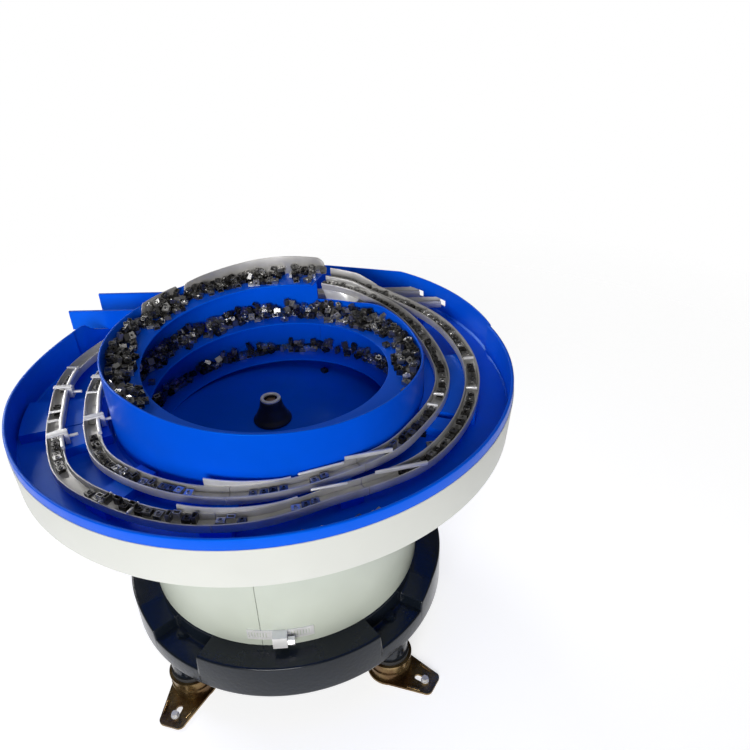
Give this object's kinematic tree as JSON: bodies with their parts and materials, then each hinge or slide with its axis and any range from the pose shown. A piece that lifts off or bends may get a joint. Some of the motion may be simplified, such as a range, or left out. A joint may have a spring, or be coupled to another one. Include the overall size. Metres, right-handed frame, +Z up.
{
  "type": "vibratory bowl feeder",
  "caption": "Vibratory bowl feeder: blue round bowl with a spiral ledge, ring tray with steel tracks, pale drum drive, black base on rubber feet.",
  "frame": {"origin": "on the bowl's upright axis, at the floor the feet stand on", "axes": "+Z up along the bowl's axis, +X to the right seen from the front, +Y to the back, -Y the front with the band clamp"},
  "size_m": [0.51, 0.618, 0.3947],
  "materials": {
    "black_casting": "glossy black over a cast surface",
    "yellow_passivated": "stamped steel, yellow passivated, mottled",
    "black_rubber": "plain black",
    "bright_steel": "bare bright steel",
    "pale_paint": "pale greenish grey, satin",
    "cream_paint": "cream, satin",
    "blue_coating": "saturated blue polyurethane coating, satin",
    "track_steel": "bare stainless sheet",
    "dark_steel_block": "dark grey, satin",
    "laminations": "stacked electrical sheet",
    "coil_varnish": "varnished winding",
    "glass_fibre": "glass-fibre laminate",
    "plate_aluminium": "machined",
    "black_plastic": "black moulding",
    "coppery_nut": "coppery plated nut",
    "dark_workpiece": "dark stamped metal",
    "cable_sheath": "black sheath"
  },
  "bodies": {
    "base": {"base_ring": "black_casting", "foot_bracket_1": "yellow_passivated", "foot_bracket_2": "yellow_passivated", "foot_bracket_3": "yellow_passivated", "foot_bracket_4": "yellow_passivated", "foot_rubber_1": "black_rubber", "foot_rubber_2": "black_rubber", "foot_rubber_3": "black_rubber", "foot_rubber_4": "black_rubber", "foot_bolts": "bright_steel", "foot_screws": "bright_steel", "shroud": "pale_paint", "clamp_band": "bright_steel", "clamp_housing": "bright_steel", "clamp_screw": "bright_steel", "magnet_stand": "dark_steel_block", "magnet_core": "laminations", "magnet_coil": "coil_varnish", "spring_feet": "dark_steel_block", "spring_leaves": "glass_fibre", "spring_bolts_lower": "bright_steel", "cable": "cable_sheath", "cable_gland": "black_plastic", "cable_plug": "black_plastic"},
    "bowl": {"armature": "laminations", "spring_heads": "dark_steel_block", "spring_bolts_upper": "bright_steel", "top_plate": "plate_aluminium", "bowl_hub": "black_casting", "bowl_floor": "blue_coating", "bowl_wall": "blue_coating", "spiral_ledge": "blue_coating", "centre_cone": "black_plastic", "cone_ring": "bright_steel", "centre_bolt": "coppery_nut", "guide_plate_long": "track_steel", "guide_plate_short": "track_steel", "tray_floor": "blue_coating", "tray_wall": "blue_coating", "tray_skirt": "cream_paint", "chute_plate_front": "blue_coating", "chute_plate_rear": "blue_coating", "entry_plate": "track_steel", "lane_dividers": "track_steel", "inner_track_right": "track_steel", "inner_track_front": "track_steel", "inner_track_left": "track_steel", "outer_track_right": "track_steel", "outer_track_front": "track_steel", "outer_track_left": "track_steel", "front_guides": "bright_steel", "side_rails": "bright_steel", "deflector_strips": "bright_steel", "guide_rods": "bright_steel", "cross_bars": "bright_steel", "strap_clamps": "bright_steel", "set_screws": "bright_steel", "track_supports": "blue_coating", "entry_posts": "blue_coating", "workpieces": "dark_workpiece"}
  },
  "joints": [
    {"name": "bowl_vibration", "type": "hinge", "parent": "base", "child": "bowl", "pos_m": [0, 0, 0.158], "axis": [0, 0, 1], "range_deg": [-0.25, 0.25], "stiffness_Nm_per_rad": 4000, "deforming": ["spring_leaves"]}
  ]
}
